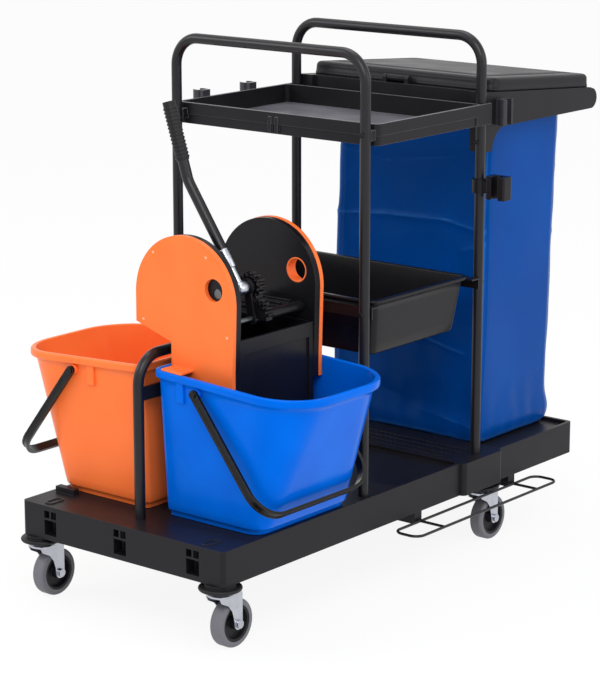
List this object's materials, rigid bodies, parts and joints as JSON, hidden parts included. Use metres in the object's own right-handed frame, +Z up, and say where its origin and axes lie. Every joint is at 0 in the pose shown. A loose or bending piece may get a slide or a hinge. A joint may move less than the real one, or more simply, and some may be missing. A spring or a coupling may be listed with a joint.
{
  "type": "janitor cart",
  "caption": "Wheeled cleaning cart with two mop buckets, a geared lever press wringer, push-bar frames, a top tray, a sliding tote and a lidded waste bag end.",
  "frame": {"origin": "middle of the overall box on the floor", "axes": "+X toward the waste bag end, +Y to the orange bucket side, +Z up"},
  "size_m": [1.3451, 0.7804, 1.142],
  "materials": {
    "black_plastic": "fine moulded grain, low sheen",
    "black_hub": "smooth moulded, low sheen",
    "black_rubber": "matte",
    "black_tube": "satin powder coat",
    "black_bail": "satin moulded",
    "orange_plastic": "semi-gloss moulded",
    "blue_plastic": "semi-gloss moulded",
    "blue_vinyl": "coated woven sheet, satin",
    "grey_tread": "smooth grey tread",
    "zinc_steel": "bright zinc plate"
  },
  "bodies": {
    "cart": {"front_platform": "black_plastic", "main_deck": "black_plastic", "front_u_frame": "black_tube", "rear_u_frame": "black_tube", "divider_hoop": "black_tube", "divider_strap": "black_tube", "top_tray": "black_plastic", "frame_bolts": "zinc_steel", "left_tool_clips": "black_plastic", "right_tool_clip": "black_plastic", "leg_clip": "black_plastic", "tote_rails": "black_tube", "bag_holder": "black_plastic", "bag_hooks": "black_plastic", "bag": "blue_vinyl", "lid_hinge_pin": "zinc_steel", "wire_rack": "black_tube", "rack_brackets": "black_plastic", "caster_bumpers": "black_rubber", "swivel_races": "zinc_steel", "king_pins": "zinc_steel"},
    "tote": {"tote": "black_plastic"},
    "lid": {"bag_lid": "black_plastic"},
    "orange_bucket": {"orange_bucket": "orange_plastic", "orange_bail_pins": "black_bail"},
    "orange_bail": {"orange_bail": "black_bail"},
    "blue_bucket": {"blue_bucket": "blue_plastic", "blue_bail_pins": "black_bail"},
    "blue_bail": {"blue_bail": "black_bail"},
    "wringer": {"wringer_front_cover": "orange_plastic", "wringer_front_frame": "black_plastic", "wringer_rear_frame": "black_plastic", "wringer_rear_cover": "orange_plastic", "wringer_chamber": "black_plastic", "bearing_link": "black_plastic", "press_rod": "zinc_steel"},
    "presser": {"press_jaw": "black_plastic"},
    "lever": {"lever_shaft": "zinc_steel", "lever_pinion": "zinc_steel", "lever_hub": "zinc_steel", "lever_tube": "black_tube", "lever_grip": "black_rubber"},
    "fl_caster": {"fl_fork": "zinc_steel", "fl_axle": "zinc_steel"},
    "fl_wheel": {"fl_tyre": "grey_tread", "fl_hub": "black_hub"},
    "fr_caster": {"fr_fork": "zinc_steel", "fr_axle": "zinc_steel"},
    "fr_wheel": {"fr_tyre": "grey_tread", "fr_hub": "black_hub"},
    "rl_caster": {"rl_fork": "zinc_steel", "rl_axle": "zinc_steel"},
    "rl_wheel": {"rl_tyre": "grey_tread", "rl_hub": "black_hub"},
    "rr_caster": {"rr_fork": "zinc_steel", "rr_axle": "zinc_steel"},
    "rr_wheel": {"rr_tyre": "grey_tread", "rr_hub": "black_hub"}
  },
  "joints": [
    {"name": "fl_swivel", "type": "hinge", "parent": "cart", "child": "fl_caster", "pos_m": [-0.62857, 0.245, 0.11], "axis": [0, 0, 1], "continuous": true},
    {"name": "fl_roll", "type": "hinge", "parent": "fl_caster", "child": "fl_wheel", "pos_m": [-0.59658, 0.245, 0.05], "axis": [0, 1, 0], "continuous": true},
    {"name": "fr_swivel", "type": "hinge", "parent": "cart", "child": "fr_caster", "pos_m": [-0.62857, -0.245, 0.11], "axis": [0, 0, 1], "continuous": true},
    {"name": "fr_roll", "type": "hinge", "parent": "fr_caster", "child": "fr_wheel", "pos_m": [-0.59658, -0.245, 0.05], "axis": [0, 1, 0], "continuous": true},
    {"name": "rl_swivel", "type": "hinge", "parent": "cart", "child": "rl_caster", "pos_m": [0.25342, 0.245, 0.11], "axis": [0, 0, 1], "continuous": true},
    {"name": "rl_roll", "type": "hinge", "parent": "rl_caster", "child": "rl_wheel", "pos_m": [0.28542, 0.245, 0.05], "axis": [0, 1, 0], "continuous": true},
    {"name": "rr_swivel", "type": "hinge", "parent": "cart", "child": "rr_caster", "pos_m": [0.25342, -0.245, 0.11], "axis": [0, 0, 1], "continuous": true},
    {"name": "rr_roll", "type": "hinge", "parent": "rr_caster", "child": "rr_wheel", "pos_m": [0.28542, -0.245, 0.05], "axis": [0, 1, 0], "continuous": true},
    {"name": "tote_slide", "type": "slide", "parent": "cart", "child": "tote", "axis": [0, -1, 0], "range_m": [0, 0.3]},
    {"name": "lid_hinge", "type": "hinge", "parent": "cart", "child": "lid", "pos_m": [0.25857, 0, 1.01889], "axis": [0, -1, 0], "range_deg": [0, 92]},
    {"name": "orange_lift", "type": "slide", "parent": "cart", "child": "orange_bucket", "axis": [0, 0, 1], "range_m": [0, 0.06]},
    {"name": "orange_bail_swing", "type": "hinge", "parent": "orange_bucket", "child": "orange_bail", "pos_m": [-0.40158, 0.205, 0.48529], "axis": [1, 0, 0], "range_deg": [0, 142]},
    {"name": "blue_lift", "type": "slide", "parent": "cart", "child": "blue_bucket", "axis": [0, 0, 1], "range_m": [0, 0.35]},
    {"name": "blue_bail_swing", "type": "hinge", "parent": "blue_bucket", "child": "blue_bail", "pos_m": [-0.40158, -0.132, 0.48912], "axis": [-1, 0, 0], "range_deg": [0, 100]},
    {"name": "wringer_lift", "type": "slide", "parent": "blue_bucket", "child": "wringer", "axis": [0, 0, 1], "range_m": [0, 0.3]},
    {"name": "lever_turn", "type": "hinge", "parent": "wringer", "child": "lever", "pos_m": [-0.44558, -0.148, 0.684], "axis": [1, 0, 0], "range_deg": [0, 95]},
    {"name": "press_turn", "type": "hinge", "parent": "wringer", "child": "presser", "pos_m": [-0.35358, -0.15999, 0.62113], "axis": [1, 0, 0], "range_deg": [-65, 0]}
  ],
  "couplings": [
    {"joint": "press_turn", "follows": "lever_turn", "ratio": -0.68421}
  ]
}
